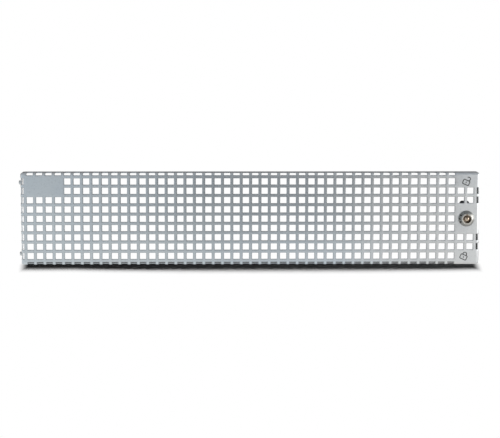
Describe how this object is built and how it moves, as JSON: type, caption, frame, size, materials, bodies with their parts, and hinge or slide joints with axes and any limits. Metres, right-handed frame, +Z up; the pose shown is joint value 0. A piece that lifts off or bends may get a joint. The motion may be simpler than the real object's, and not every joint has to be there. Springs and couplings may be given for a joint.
{
  "type": "rack front grille",
  "caption": "Low, wide front grille for an equipment rack: one square-hole perforated sheet folded back along its edges, with locating pins at one end and a tubular key cam lock at the other.",
  "frame": {"origin": "middle of the face that the grille stands on, under its bottom flange, half way back", "axes": "+X to the right seen from the front, +Y towards the back, +Z up"},
  "size_m": [0.443, 0.0247, 0.0889],
  "materials": {
    "plated_sheet": "satin zinc plate",
    "plated_steel": "bright zinc plate",
    "blackened_steel": "black zinc plate",
    "lock_nickel": "turned and nickel plated"
  },
  "bodies": {
    "grille": {"grille_panel": "plated_sheet", "locating_pin_upper": "plated_steel", "locating_pin_lower": "plated_steel", "lock_body": "lock_nickel", "mounting_nut": "plated_steel"},
    "lock_core": {"lock_plug": "lock_nickel", "lock_cam": "blackened_steel", "cam_nut": "plated_steel"}
  },
  "joints": [
    {"name": "key_turn", "type": "hinge", "parent": "grille", "child": "lock_core", "pos_m": [0.208, 0, 0.04445], "axis": [0, 1, 0], "range_deg": [0, 90]}
  ]
}
